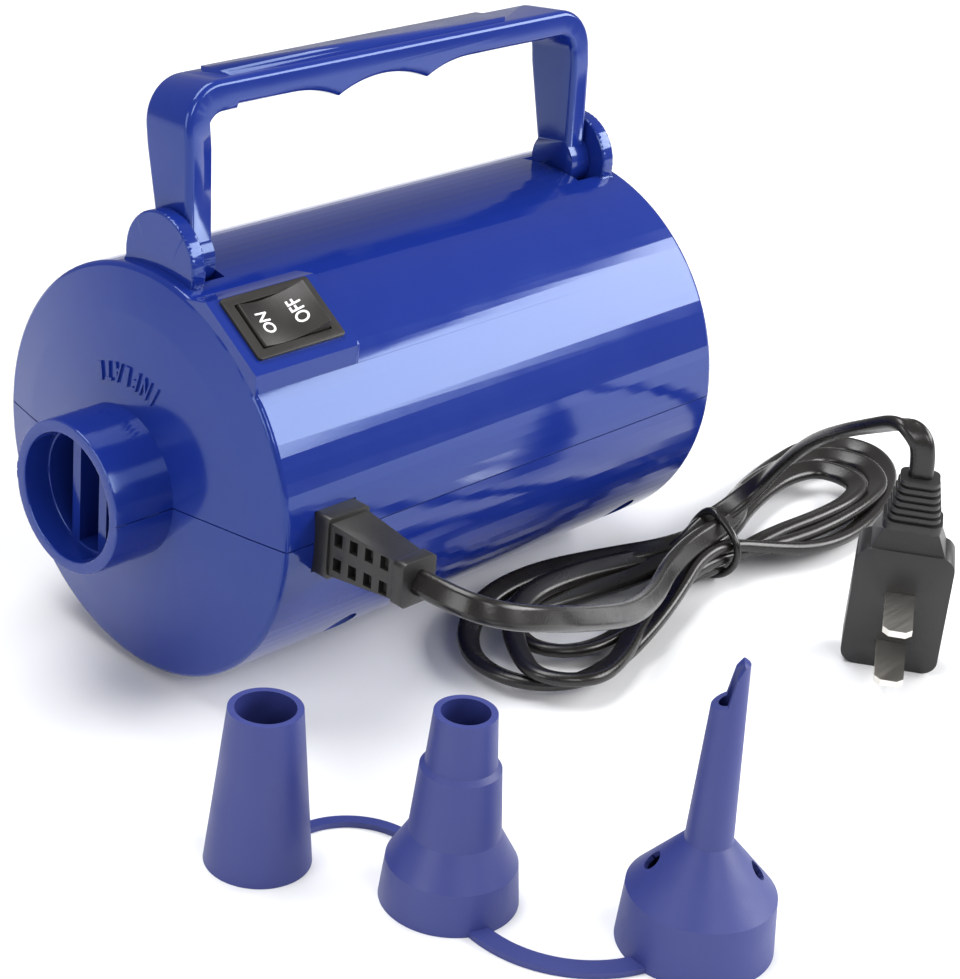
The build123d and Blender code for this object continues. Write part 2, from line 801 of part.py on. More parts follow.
def internal_leads():
    """Two mains leads, a switched lead and the motor pair, between planar faces."""
    board_mid = board_top - board_thickness / 2
    edge_x = board_front_x
    live_tip, load_tip = terminal_end(1), terminal_end(-1)
    cap_face = can_front_x - cap_thickness
    inner_y = relief_retainer_inner_y
    routes = [
        [(relief_x, inner_y, 2), (relief_x, inner_y + 7, 4), (live_tip[0], -20, 14), live_tip],
        [load_tip, (load_tip[0] + 1, -13, 12), (-46, -20, -10), (-32, -20, board_mid + 2), (edge_x - 6, -5, board_mid),
         (edge_x, -5, board_mid)],
        [(relief_x, inner_y, -2), (relief_x + 1, inner_y + 6, -6), (-36, -24, -16), (-27, -12, board_mid + 1),
         (edge_x - 5, -10, board_mid), (edge_x, -10, board_mid)],
        [(edge_x, 4, board_mid), (-30, 4, board_mid), (-43, 4, -25), (-44, 5, -13), (cap_face, 6, -12)],
        [(edge_x, 9, board_mid), (-30, 9, board_mid), (-43, 10, -24), (-44, 12, -12), (cap_face, 12, -8)],
    ]
    return [tube(route, 2.5, lead_radius) for route in routes]


# Strain relief

def relief_flange_block():
    half = relief_flange_length / 2
    return block(relief_x - half, relief_x + half, relief_flange_outer_y, relief_flange_inner_y,
                 -relief_flange_height / 2, relief_flange_height / 2)


def relief_neck_block(y0, y1):
    half = relief_neck_length / 2
    return block(relief_x - half, relief_x + half, min(y0, y1), max(y0, y1),
                 -relief_neck_height / 2, relief_neck_height / 2)


def strain_relief():
    """Moulded boot: a flange on the barrel, a ribbed taper and an end collar, with a retainer inside."""
    flange = relief_flange_block()
    upright = flange.edges().filter_by(Axis.Y)
    boot = fillet(upright, 1.0)
    boot += relief_neck_block(relief_flange_inner_y, relief_retainer_outer_y)
    half = relief_flange_length / 2
    boot += block(relief_x - half, relief_x + half, relief_retainer_outer_y, relief_retainer_inner_y,
                  -relief_flange_height / 2, relief_flange_height / 2)
    root = Plane(origin=(relief_x, relief_flange_outer_y, 0), x_dir=(1, 0, 0), z_dir=(0, -1, 0))
    tip = Plane(origin=(relief_x, relief_tip_y, 0), x_dir=(1, 0, 0), z_dir=(0, -1, 0))
    sections = Sketch() + root * Rectangle(relief_root_length, relief_root_height)
    sections += tip * Rectangle(relief_tip_length, relief_tip_height)
    taper = loft(sections)
    for index in range(relief_slot_count):
        y = relief_flange_outer_y - 2.2 - index * relief_slot_pitch
        for side in (-1, 1):
            x = relief_x + side * relief_root_length / 2
            for row in (-1, 1):
                taper -= Pos(x, y, row * relief_slot_offset) * Box(
                    2 * relief_slot_depth, relief_slot_width, relief_slot_height)
    boot += taper
    half_long, half_high = relief_collar_length / 2, relief_collar_height / 2
    collar = block(relief_x - half_long, relief_x + half_long, relief_end_y, relief_tip_y, -half_high, half_high)
    boot += fillet(collar.edges().filter_by(Axis.Y), 1.2)
    return boot


# Cord: a lead, a tied hank and a tail that drops into the plug's neck

lead_points = [
    (relief_x, relief_end_y, axis_height),
    (relief_x, -78, axis_height),
    (-46, -85, 44),
    (-33, -86, 39.5),
    (-14, -81, 31),
    (6, -75, 22.5),
    (25, -66, 16),
    (40, -53, cord_level),
    (49, tie_y, cord_level),
    (tie_x - waist_half_length, tie_y, cord_level),
]
left_lobe_points = [(62, -42), (46, -33), (27, -27), (12, -27), (-3, -34), (-12, -48), (-13, -60),
                    (-5, -70), (10, -72), (27, -67), (46, -60), (62, -55)]
right_lobe_points = [(74, -42), (98, -32), (118, -27), (138, -21), (151, -23), (156, -33), (146, -47),
                     (128, -58), (108, -66), (92, -68), (74, -55)]


def plug_frame():
    facing = math.radians(plug_facing)
    tilt = math.radians(plug_tilt)
    upward = (math.sin(tilt) * math.cos(facing), math.sin(tilt) * math.sin(facing), math.cos(tilt))
    across = (-math.sin(facing), math.cos(facing), 0)
    return Plane(origin=(plug_base[0], plug_base[1], 0), x_dir=across, z_dir=upward)


def tail_points():
    frame = plug_frame()
    neck_end = frame.from_local_coords((0, neck_centre, neck_top))
    above = frame.from_local_coords((0, neck_centre, neck_top + 5.5))
    free = [
        (tie_x + waist_half_length, tie_y, cord_level),
        (85.5, tie_y, cord_level),
        (89.5, -50.5, 20),
        (85.5, -55.5, 28),
        (80.5, -62, 36),
        (76, -70, 42.5),
        (71.5, -78.5, 48.7),
        (67.8, -86.5, 54),
        (66, -94.5, 56.6),
    ]
    return free + [(above.X, above.Y, above.Z), (neck_end.X, neck_end.Y, neck_end.Z)]


def corner_radii(points):
    """Arc at each corner: 0.45 of the shorter run over the tangent of half the turn."""
    radii = []
    for before, corner, after in zip(points, points[1:], points[2:]):
        arriving = Vector(*corner) - Vector(*before)
        leaving = Vector(*after) - Vector(*corner)
        turn = math.radians(arriving.get_angle(leaving))
        radii.append(0.45 * min(arriving.length, leaving.length) / math.tan(turn / 2))
    return radii


def cord_tube(name, points):
    radii = corner_radii(points)
    solid = tube(points, radii, cord_diameter / 2)
    path_length = FilletPolyline(*points, radius=radii).length
    section = math.pi * cord_diameter ** 2 / 4
    print(name, "radii", [round(radius, 1) for radius in radii], "length", round(path_length, 1),
          "volume ratio", round(solid.volume / (section * path_length), 3))
    return solid


def cord_hank():
    """Outer shape of the tied bundle: two flat lobes of loops and the gathered waist."""
    hank = Part()
    for points in (left_lobe_points, right_lobe_points):
        outline = make_face(Polyline(*points, close=True))
        outline = fillet(outline.vertices(), lobe_corner * 0.5)
        hank += extrude(outline, lobe_height)
    start = Plane(origin=(tie_x - waist_half_length, tie_y, tie_thickness + waist_height / 2),
                  x_dir=(0, 1, 0), z_dir=(1, 0, 0))
    hank += extrude(start * RectangleRounded(waist_width, waist_height, waist_corner), 2 * waist_half_length)
    return hank - cord_tie()


def cord_tie():
    start = Plane(origin=(tie_x - tie_length / 2, tie_y, tie_thickness + waist_height / 2),
                  x_dir=(0, 1, 0), z_dir=(1, 0, 0))
    outer = RectangleRounded(waist_width + 2 * tie_thickness, waist_height + 2 * tie_thickness,
                             waist_corner + tie_thickness)
    return extrude(start * (outer - RectangleRounded(waist_width, waist_height, waist_corner)), tie_length)


# Plug

def plug_blades():
    blades = []
    for index in range(2):
        z = blade_low + index * blade_spacing
        blade = block(-blade_width / 2, blade_width / 2, -blade_length, blade_root,
                      z - blade_thickness / 2, z + blade_thickness / 2)
        tips = blade.edges().filter_by(Axis.Z).group_by(Axis.Y)[0]
        blades.append(plug_frame() * chamfer(tips, blade_tip_cut))
    return blades


def plug_body():
    body = block(-plug_width / 2, plug_width / 2, 0, plug_depth, 0, plug_height)
    body = fillet(body.edges().filter_by(Axis.Y), plug_corner)
    back = body.faces().sort_by(Axis.Y)[-1]
    body = chamfer(back.edges(), 1.2)
    shoulder = Plane.XY.offset(plug_height - 1) * Pos(0, neck_centre) * Rectangle(17, 9.8)
    shoulder = Sketch() + shoulder + Plane.XY.offset(shoulder_top) * Pos(0, neck_centre) * Rectangle(12.2, 8.4)
    body += loft(shoulder)
    flange = extrude(RectangleRounded(13.0, 9.4, 2.5), flange_top - shoulder_top)
    body += Pos(0, neck_centre, shoulder_top) * flange
    rib_pitch = (neck_top - flange_top) / neck_rib_count
    for index in range(neck_rib_count):
        share = index / (neck_rib_count - 1)
        wide, deep = 11.6 - 3.0 * share, 8.6 - 1.4 * share
        z = flange_top + index * rib_pitch
        body += Pos(0, neck_centre, z) * extrude(RectangleRounded(wide - 1.6, deep - 1.4, 1.6), rib_pitch)
        body += Pos(0, neck_centre, z + rib_pitch * 0.4) * extrude(RectangleRounded(wide, deep, 2), rib_pitch * 0.6)
    placed = plug_frame() * body
    for blade in plug_blades():
        placed -= blade
    return placed


# Nozzle set

def hollow(outline, wall):
    """Turned hollow piece from (height, outer radius) pairs, open at both ends."""
    outer = [(radius, height) for height, radius in outline]
    inner = [(radius - wall, height) for height, radius in outline]
    return turned_about_z(outer + inner[::-1])


def outer_form(outline):
    return turned_about_z([(0, outline[0][0])] + [(r, h) for h, r in outline] + [(0, outline[-1][0])])


cone_outline = [(0, cone_base_radius), (cone_height, cone_top_radius)]
needle_outline = [(0, needle_skirt_radius), (needle_skirt_height, needle_shoulder_radius),
                  (needle_root_height, needle_root_radius), (needle_tip_height, needle_tip_radius)]


def needle_nozzle():
    nozzle = hollow(needle_outline, nozzle_wall)
    for side in (-1, 1):
        hole = Pos(side * needle_shoulder_radius * 0.68, 0, bleed_hole_height) * Rot(0, side * 45, 0) * Cylinder(
            bleed_hole_radius, needle_root_height / 2)
        nozzle -= hole
    notch_rise = needle_tip_height - needle_notch_height
    corners = [(-needle_root_radius, needle_notch_height), (-0.4, needle_notch_height + 1.8),
               (0.6, needle_tip_height - 2), (2.2, needle_tip_height + 1), (-needle_root_radius, needle_tip_height + 1)]
    notch = extrude(Plane.XZ * make_face(Polyline(*corners, close=True)), notch_rise, both=True)
    return Pos(*needle_place, 0) * Rot(0, 0, needle_azimuth) * (nozzle - notch)


def strap(points, width, places):
    band = extrude(trace(ThreePointArc(*points), width), strap_thickness)
    for place, outline in places:
        band -= Pos(*place, 0) * outer_form(outline)
    return band.solids().sort_by(SortBy.VOLUME)[-1]


def build():
    upper, lower = housing_shells()
    save("upper_shell", lift * upper)
    save("lower_shell", lift * lower)
    save("housing_screws", *[lift * screw for screw in housing_screws()])
    save("handle_pins", *[lift * pin for pin in handle_pins()])
    save("handle", lift * handle())
    save("switch_bezel", lift * switch_bezel())
    save("rocker", lift * rocker())
    save("switch_terminals", *[lift * terminal for terminal in switch_terminals()])

    core = armature_core()
    save("motor_can", lift * motor_can())
    save("motor_end_cap", lift * motor_end_cap())
    save("motor_magnets", *[lift * magnet for magnet in motor_magnets()])
    save("motor_screws", *[lift * screw for screw in motor_screws()])
    save("carbon_brushes", *[lift * brush(side) for side in (-1, 1)])
    save("front_bearing", lift * bearing(can_front_x - cap_thickness - front_boss_reach, can_front_x))
    save("rear_bearing", lift * bearing(can_rear_x - can_end_wall, can_rear_x + rear_boss_reach))
    save("motor_shaft", lift * x_rod(shaft_radius, shaft_front_x, shaft_rear_x))
    save("armature_core", lift * core)
    save("armature_windings", lift * armature_windings(core))
    save("commutator", lift * commutator())
    save("impeller", lift * impeller())
    save("impeller_nut", lift * impeller_nut())
    save("motor_cradle", lift * motor_cradle())
    save("stator_vanes", lift * stator_vanes())
    save("fan_baffle", lift * fan_baffle())
    save("rectifier_board", lift * rectifier_board())
    save("board_components", *[lift * piece for piece in board_components()])
    save("internal_leads", *[lift * lead for lead in internal_leads()])

    save("strain_relief", lift * strain_relief())
    save("cord_lead", cord_tube("cord_lead", lead_points))
    save("cord_hank", cord_hank())
    save("cord_tie", cord_tie())
    save("cord_tail", cord_tube("cord_tail", tail_points()))
    save("plug_body", plug_body())
    save("plug_blades", *plug_blades())

    save("cone_nozzle", Pos(*cone_place, 0) * hollow(cone_outline, nozzle_wall))
    save("stepped_nozzle", Pos(*stepped_place, 0) * hollow(stepped_outline, nozzle_wall))
    save("needle_nozzle", needle_nozzle())
    cone_end, stepped_end = (cone_place, cone_outline), (stepped_place, stepped_outline)
    needle_end = (needle_place, needle_outline)
    short_route = ((-84, -68.5), (-68.5, -72.5), (-67, -90))
    save("short_strap", strap(short_route, short_strap_width, [cone_end, stepped_end]))
    long_route = ((-75, -108), (-74.5, -124), (-58, -138))
    save("long_strap", strap(long_route, long_strap_width, [stepped_end, needle_end]))


build()
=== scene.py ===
import bpy
import json
import math
from mathutils import Matrix, Vector

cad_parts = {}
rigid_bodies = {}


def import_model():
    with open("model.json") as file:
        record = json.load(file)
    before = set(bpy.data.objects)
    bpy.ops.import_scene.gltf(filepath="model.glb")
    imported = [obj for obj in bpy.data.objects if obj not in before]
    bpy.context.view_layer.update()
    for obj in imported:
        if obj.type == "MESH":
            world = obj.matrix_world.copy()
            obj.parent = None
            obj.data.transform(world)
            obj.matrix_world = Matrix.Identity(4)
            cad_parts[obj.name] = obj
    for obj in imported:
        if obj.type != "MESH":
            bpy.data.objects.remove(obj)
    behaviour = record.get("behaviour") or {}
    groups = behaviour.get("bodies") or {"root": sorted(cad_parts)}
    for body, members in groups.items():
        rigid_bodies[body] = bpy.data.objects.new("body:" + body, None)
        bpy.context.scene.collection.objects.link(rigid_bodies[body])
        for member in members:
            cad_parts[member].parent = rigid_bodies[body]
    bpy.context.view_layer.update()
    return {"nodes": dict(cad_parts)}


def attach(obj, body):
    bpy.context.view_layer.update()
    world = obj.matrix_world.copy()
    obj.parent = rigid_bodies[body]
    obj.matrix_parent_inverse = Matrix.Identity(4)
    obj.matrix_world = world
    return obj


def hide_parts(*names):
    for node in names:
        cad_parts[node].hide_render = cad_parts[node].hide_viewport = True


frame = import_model()
nodes = frame["nodes"]
mm = 0.001
print("frame loaded")


# Small helpers that every piece uses.
def deselectAll():
    if bpy.context.object and bpy.context.object.mode != "OBJECT":
        bpy.ops.object.mode_set(mode="OBJECT")
    for item in bpy.context.view_layer.objects:
        item.select_set(False)


def pick(piece):
    deselectAll()
    piece.select_set(True)
    bpy.context.view_layer.objects.active = piece


def settle(piece):
    # Put the piece's place into its mesh, so that its object sits at the origin.
    pick(piece)
    bpy.ops.object.transform_apply(location=True, rotation=True, scale=True)
    return piece


def applyAll(piece):
    pick(piece)
    for name in [modifier.name for modifier in piece.modifiers]:
        bpy.ops.object.modifier_apply(modifier=name)
    return piece


def joinAll(pieces, name):
    deselectAll()
    for piece in pieces:
        piece.select_set(True)
    bpy.context.view_layer.objects.active = pieces[0]
    if len(pieces) > 1:
        bpy.ops.object.join()
    pieces[0].name = name
    return pieces[0]


def smoothAt(piece, degrees):
    pick(piece)
    bpy.ops.object.shade_smooth_by_angle(angle=math.radians(degrees))


def ridingOn(piece, body, material):
    piece.data.materials.clear()
    piece.data.materials.append(material)
    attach(piece, body)
    return piece


cameraSetup = {
    "place": (-0.3608, -0.3555, 0.2730),
    "right": (0.6928, -0.7161, 0.0856),
    "down": (-0.2633, -0.3616, -0.8944),
    "forward": (0.6714, 0.5971, -0.4390),
    "lens": 92.08,
    "sensor": 36.0,
}

cameraData = bpy.data.cameras.new("studioCamera")
cameraData.lens = cameraSetup["lens"]
cameraData.sensor_width = cameraSetup["sensor"]
cameraData.clip_start = 0.01
cameraData.clip_end = 20
camera = bpy.data.objects.new("studioCamera", cameraData)
bpy.context.scene.collection.objects.link(camera)
turned = Matrix((cameraSetup["right"], [-x for x in cameraSetup["down"]], [-x for x in cameraSetup["forward"]]))
camera.matrix_world = Matrix.Translation(cameraSetup["place"]) @ turned.transposed().to_4x4()
bpy.context.scene.camera = camera
print("camera placed")


floorSetup = {"size": 6.0, "drop": 0.00005, "roughness": 0.9, "gloss": 0.1, "colour": (0.86, 0.865, 0.875, 1)}
lightSetup = [
    {"name": "softboxFront", "place": (0.80, -0.72, 0.62), "aim": (0, 0, 0.06),
     "wide": 1.10, "tall": 0.50, "power": 17.0},
    {"name": "softboxTop", "place": (-0.10, 0.25, 1.25), "aim": (0, 0, 0.05),
     "wide": 1.20, "tall": 0.55, "power": 15.0},
    {"name": "softboxLeft", "place": (-1.25, -0.05, 0.45), "aim": (0, 0, 0.05),
     "wide": 0.55, "tall": 0.70, "power": 5.0},
    {"name": "softboxNear", "place": (-0.45, -1.20, 0.85), "aim": (0.02, -0.05, 0.03),
     "wide": 0.45, "tall": 0.45, "power": 5.0},
]
worldLevel = 0.34

deselectAll()
bpy.ops.mesh.primitive_plane_add(size=floorSetup["size"], location=(0, 0, -floorSetup["drop"]))
studioFloor = bpy.context.object
studioFloor.name = "studioFloor"
floorPaint = bpy.data.materials.new("floorPaint")
floorPaint.use_nodes = True
floorShader = floorPaint.node_tree.nodes["Principled BSDF"]
floorShader.inputs["Base Color"].default_value = floorSetup["colour"]
floorShader.inputs["Roughness"].default_value = floorSetup["roughness"]
floorShader.inputs["Specular IOR Level"].default_value = floorSetup["gloss"]
studioFloor.data.materials.append(floorPaint)

for box in lightSetup:
    lamp = bpy.data.lights.new(box["name"], "AREA")
    lamp.shape = "RECTANGLE"
    lamp.size = box["wide"]
    lamp.size_y = box["tall"]
    lamp.energy = box["power"]
    holder = bpy.data.objects.new(box["name"], lamp)
    bpy.context.scene.collection.objects.link(holder)
    holder.location = box["place"]
    aim = Vector(box["aim"]) - Vector(box["place"])
    holder.rotation_euler = aim.to_track_quat("-Z", "Y").to_euler()

world = bpy.data.worlds.new("studioAir")
world.use_nodes = True
world.node_tree.nodes["Background"].inputs["Color"].default_value = (1, 1, 1, 1)
world.node_tree.nodes["Background"].inputs["Strength"].default_value = worldLevel
bpy.context.scene.world = world
bpy.context.scene.view_settings.view_transform = "Standard"
print("floor and lights placed")


def newGroup(name, inputs, outputs):
    group = bpy.data.node_groups.new(name, "ShaderNodeTree")
    for label, kind, value in inputs:
        socket = group.interface.new_socket(name=label, in_out="INPUT", socket_type=kind)
        if value is not None:
            socket.default_value = value
    for label, kind in outputs:
        group.interface.new_socket(name=label, in_out="OUTPUT", socket_type=kind)
    start = group.nodes.new("NodeGroupInput")
    end = group.nodes.new("NodeGroupOutput")
    return group, start, end


def noiseNode(tree, scale, detail, roughness=0.5):
    noise = tree.nodes.new("ShaderNodeTexNoise")
    noise.inputs["Scale"].default_value = scale
    noise.inputs["Detail"].default_value = detail
    noise.inputs["Roughness"].default_value = roughness
    return noise


skinSetup = {"fineScale": 2500, "waveScale": 28, "smearScale": 60, "smearDetail": 4, "smearRough": 0.65,
             "waveReach": 0.004, "fineReach": 0.0002, "smearLow": 0.35, "smearHigh": 0.7}


def makeMouldedGroup():
    # Moulded plastic: slow unevenness of the skin, fine pimples and handling smears.
    group, start, end = newGroup(
        "mouldedSkin",
        [("Fine Scale", "NodeSocketFloat", 2500.0), ("Fine Depth", "NodeSocketFloat", 0.1),
         ("Wave Depth", "NodeSocketFloat", 0.05), ("Dull", "NodeSocketFloat", 0.3),
         ("Shiny", "NodeSocketFloat", 0.15)],
        [("Normal", "NodeSocketVector"), ("Roughness", "NodeSocketFloat"), ("Patch", "NodeSocketFloat")],
    )
    tree = group
    place = tree.nodes.new("ShaderNodeTexCoord")
    fine = noiseNode(tree, skinSetup["fineScale"], 2)
    wave = noiseNode(tree, skinSetup["waveScale"], 1)
    smear = noiseNode(tree, skinSetup["smearScale"], skinSetup["smearDetail"], skinSetup["smearRough"])
    for noise in (fine, wave, smear):
        tree.links.new(place.outputs["Object"], noise.inputs["Vector"])
    tree.links.new(start.outputs["Fine Scale"], fine.inputs["Scale"])
    waveBump = tree.nodes.new("ShaderNodeBump")
    waveBump.inputs["Distance"].default_value = skinSetup["waveReach"]
    fineBump = tree.nodes.new("ShaderNodeBump")
    fineBump.inputs["Distance"].default_value = skinSetup["fineReach"]
    tree.links.new(start.outputs["Wave Depth"], waveBump.inputs["Strength"])
    tree.links.new(start.outputs["Fine Depth"], fineBump.inputs["Strength"])
    tree.links.new(wave.outputs["Fac"], waveBump.inputs["Height"])
    tree.links.new(fine.outputs["Fac"], fineBump.inputs["Height"])
    tree.links.new(waveBump.outputs["Normal"], fineBump.inputs["Normal"])
    spread = tree.nodes.new("ShaderNodeMapRange")
    spread.inputs["From Min"].default_value = skinSetup["smearLow"]
    spread.inputs["From Max"].default_value = skinSetup["smearHigh"]
    tree.links.new(smear.outputs["Fac"], spread.inputs["Value"])
    tree.links.new(start.outputs["Shiny"], spread.inputs["To Min"])
    tree.links.new(start.outputs["Dull"], spread.inputs["To Max"])
    tree.links.new(fineBump.outputs["Normal"], end.inputs["Normal"])
    tree.links.new(spread.outputs["Result"], end.inputs["Roughness"])
    tree.links.new(smear.outputs["Fac"], end.inputs["Patch"])
    return group


def makeBrushedGroup():
    # Drawn or turned metal: streaks stretched along X.
    group, start, end = newGroup(
        "drawnStreaks",
        [("Fine", "NodeSocketFloat", 900.0), ("Depth", "NodeSocketFloat", 0.2), ("Low", "NodeSocketFloat", 0.2),
         ("High", "NodeSocketFloat", 0.45)],
        [("Normal", "NodeSocketVector"), ("Roughness", "NodeSocketFloat")],
    )
    tree = group
    place = tree.nodes.new("ShaderNodeTexCoord")
    stretch = tree.nodes.new("ShaderNodeMapping")
    stretch.inputs["Scale"].default_value = (0.06, 1, 1)
    streak = noiseNode(tree, 900, 3)
    tree.links.new(place.outputs["Object"], stretch.inputs["Vector"])
    tree.links.new(stretch.outputs["Vector"], streak.inputs["Vector"])
    tree.links.new(start.outputs["Fine"], streak.inputs["Scale"])
    bump = tree.nodes.new("ShaderNodeBump")
    bump.inputs["Distance"].default_value = 0.0001
    tree.links.new(start.outputs["Depth"], bump.inputs["Strength"])
    tree.links.new(streak.outputs["Fac"], bump.inputs["Height"])
    spread = tree.nodes.new("ShaderNodeMapRange")
    tree.links.new(streak.outputs["Fac"], spread.inputs["Value"])
    tree.links.new(start.outputs["Low"], spread.inputs["To Min"])
    tree.links.new(start.outputs["High"], spread.inputs["To Max"])
    tree.links.new(bump.outputs["Normal"], end.inputs["Normal"])
    tree.links.new(spread.outputs["Result"], end.inputs["Roughness"])
    return group


mouldedSkin = makeMouldedGroup()
drawnStreaks = makeBrushedGroup()


def placedGroup(material, group, values):
    node = material.node_tree.nodes.new("ShaderNodeGroup")
    node.node_tree = group
    for label, value in values.items():
        node.inputs[label].default_value = value
    return node


def plastic(name, colour, patchColour, shiny, dull, fineScale=2500, fineDepth=0.1, waveDepth=0.03,
            coat=0.0, coatRoughness=0.05, specular=0.5, tint=(1, 1, 1)):
    material = bpy.data.materials.new(name)
    material.use_nodes = True
    tree = material.node_tree
    shader = tree.nodes["Principled BSDF"]
    skin = placedGroup(material, mouldedSkin, {"Fine Scale": fineScale, "Fine Depth": fineDepth,
                                               "Wave Depth": waveDepth, "Dull": dull, "Shiny": shiny})
    blend = tree.nodes.new("ShaderNodeMix")
    blend.data_type = "RGBA"
    blend.inputs["A"].default_value = (*colour, 1)
    blend.inputs["B"].default_value = (*patchColour, 1)
    tree.links.new(skin.outputs["Patch"], blend.inputs["Factor"])
    tree.links.new(blend.outputs["Result"], shader.inputs["Base Color"])
    tree.links.new(skin.outputs["Roughness"], shader.inputs["Roughness"])
    tree.links.new(skin.outputs["Normal"], shader.inputs["Normal"])
    shader.inputs["Coat Weight"].default_value = coat
    shader.inputs["Coat Roughness"].default_value = coatRoughness
    shader.inputs["Specular IOR Level"].default_value = specular
    shader.inputs["Specular Tint"].default_value = (*tint, 1)
    return material


def metal(name, colour, darkColour, low, high, depth=0.15, fine=900):
    material = bpy.data.materials.new(name)
    material.use_nodes = True
    tree = material.node_tree
    shader = tree.nodes["Principled BSDF"]
    streaks = placedGroup(material, drawnStreaks, {"Fine": fine, "Depth": depth, "Low": low, "High": high})
    tarnish = noiseNode(tree, 120, 4)
    place = tree.nodes.new("ShaderNodeTexCoord")
    tree.links.new(place.outputs["Object"], tarnish.inputs["Vector"])
    blend = tree.nodes.new("ShaderNodeMix")
    blend.data_type = "RGBA"
    blend.inputs["A"].default_value = (*colour, 1)
    blend.inputs["B"].default_value = (*darkColour, 1)
    tree.links.new(tarnish.outputs["Fac"], blend.inputs["Factor"])
    tree.links.new(blend.outputs["Result"], shader.inputs["Base Color"])
    tree.links.new(streaks.outputs["Roughness"], shader.inputs["Roughness"])
    tree.links.new(streaks.outputs["Normal"], shader.inputs["Normal"])
    shader.inputs["Metallic"].default_value = 1.0
    return material


blueShell = plastic("blueShellGloss", (0.0070, 0.020, 0.180), (0.0085, 0.024, 0.200), 0.09, 0.15,
                    fineScale=1800, fineDepth=0.015, waveDepth=0.010, coat=0.08, coatRoughness=0.05, specular=0.62,
                    tint=(0.50, 0.68, 1.0))
blueNozzle = plastic("blueNozzleMatte", (0.024, 0.034, 0.175), (0.029, 0.040, 0.195), 0.42, 0.56,
                     fineScale=2200, fineDepth=0.12, waveDepth=0.02)
blackSwitch = plastic("blackSwitchSatin", (0.010, 0.0085, 0.007), (0.014, 0.012, 0.010), 0.40, 0.52,
                      fineScale=3200, fineDepth=0.18)
blackRubber = plastic("blackReliefRubber", (0.008, 0.0075, 0.007), (0.013, 0.012, 0.0115), 0.34, 0.5,
                      fineScale=2600, fineDepth=0.22)
cordSheath = plastic("cordSheathVinyl", (0.0065, 0.0055, 0.005), (0.011, 0.0095, 0.0085), 0.22, 0.34,
                     fineScale=1500, fineDepth=0.10, waveDepth=0.05)
plugVinyl = plastic("plugVinylSatin", (0.012, 0.0115, 0.0115), (0.018, 0.0175, 0.0175), 0.36, 0.50,
                    fineScale=2400, fineDepth=0.20, waveDepth=0.06)
tieVinyl = plastic("tieVinylGloss", (0.010, 0.010, 0.010), (0.016, 0.016, 0.016), 0.14, 0.24)
letterWhite = plastic("switchLetterWhite", (0.78, 0.78, 0.76), (0.84, 0.84, 0.82), 0.4, 0.5)
whiteNylon = plastic("fanNylon", (0.62, 0.61, 0.56), (0.70, 0.69, 0.64), 0.35, 0.5)
innerBlack = plastic("innerGlassNylon", (0.03, 0.03, 0.032), (0.05, 0.05, 0.052), 0.4, 0.6, fineDepth=0.25)
boardGreen = plastic("boardSolderMask", (0.03, 0.16, 0.06), (0.04, 0.2, 0.08), 0.25, 0.4)
wireRed = plastic("leadSleeveRed", (0.32, 0.03, 0.02), (0.4, 0.04, 0.03), 0.3, 0.4)
ferrite = plastic("magnetFerrite", (0.06, 0.06, 0.065), (0.1, 0.1, 0.11), 0.5, 0.75, fineDepth=0.4)
carbon = plastic("brushCarbon", (0.02, 0.02, 0.02), (0.04, 0.04, 0.04), 0.4, 0.6, fineDepth=0.3)
platedBlade = metal("bladeNickel", (0.86, 0.84, 0.79), (0.66, 0.63, 0.58), 0.24, 0.42)
zincSteel = metal("zincSteel", (0.56, 0.56, 0.58), (0.42, 0.42, 0.43), 0.25, 0.5)
warmBrass = metal("bearingBrass", (0.72, 0.52, 0.24), (0.52, 0.36, 0.16), 0.2, 0.4)
copperWire = metal("enamelledCopper", (0.72, 0.30, 0.13), (0.5, 0.18, 0.08), 0.15, 0.35, depth=0.5, fine=500)

nodeFinish = {
    "upper_shell": blueShell, "lower_shell": blueShell, "handle": blueShell,
    "housing_screws": zincSteel, "handle_pins": zincSteel, "motor_can": zincSteel, "motor_screws": zincSteel,
    "motor_shaft": zincSteel, "armature_core": zincSteel, "impeller_nut": zincSteel,
    "switch_bezel": blackSwitch, "rocker": blackSwitch, "switch_terminals": warmBrass,
    "motor_end_cap": innerBlack, "motor_cradle": innerBlack, "stator_vanes": innerBlack, "fan_baffle": innerBlack,
    "board_components": innerBlack, "motor_magnets": ferrite, "carbon_brushes": carbon,
    "front_bearing": warmBrass, "rear_bearing": warmBrass, "armature_windings": copperWire, "commutator": copperWire,
    "impeller": whiteNylon, "rectifier_board": boardGreen, "internal_leads": wireRed,
    "strain_relief": blackRubber, "plug_body": plugVinyl, "plug_blades": platedBlade,
    "cone_nozzle": blueNozzle, "stepped_nozzle": blueNozzle, "needle_nozzle": blueNozzle,
    "short_strap": blueNozzle, "long_strap": blueNozzle,
    "cord_lead": cordSheath, "cord_hank": cordSheath, "cord_tail": cordSheath, "cord_tie": tieVinyl,
}
for name, node in nodes.items():
    node.data.materials.clear()
    node.data.materials.append(nodeFinish[name])
print("materials made:", len(bpy.data.materials))


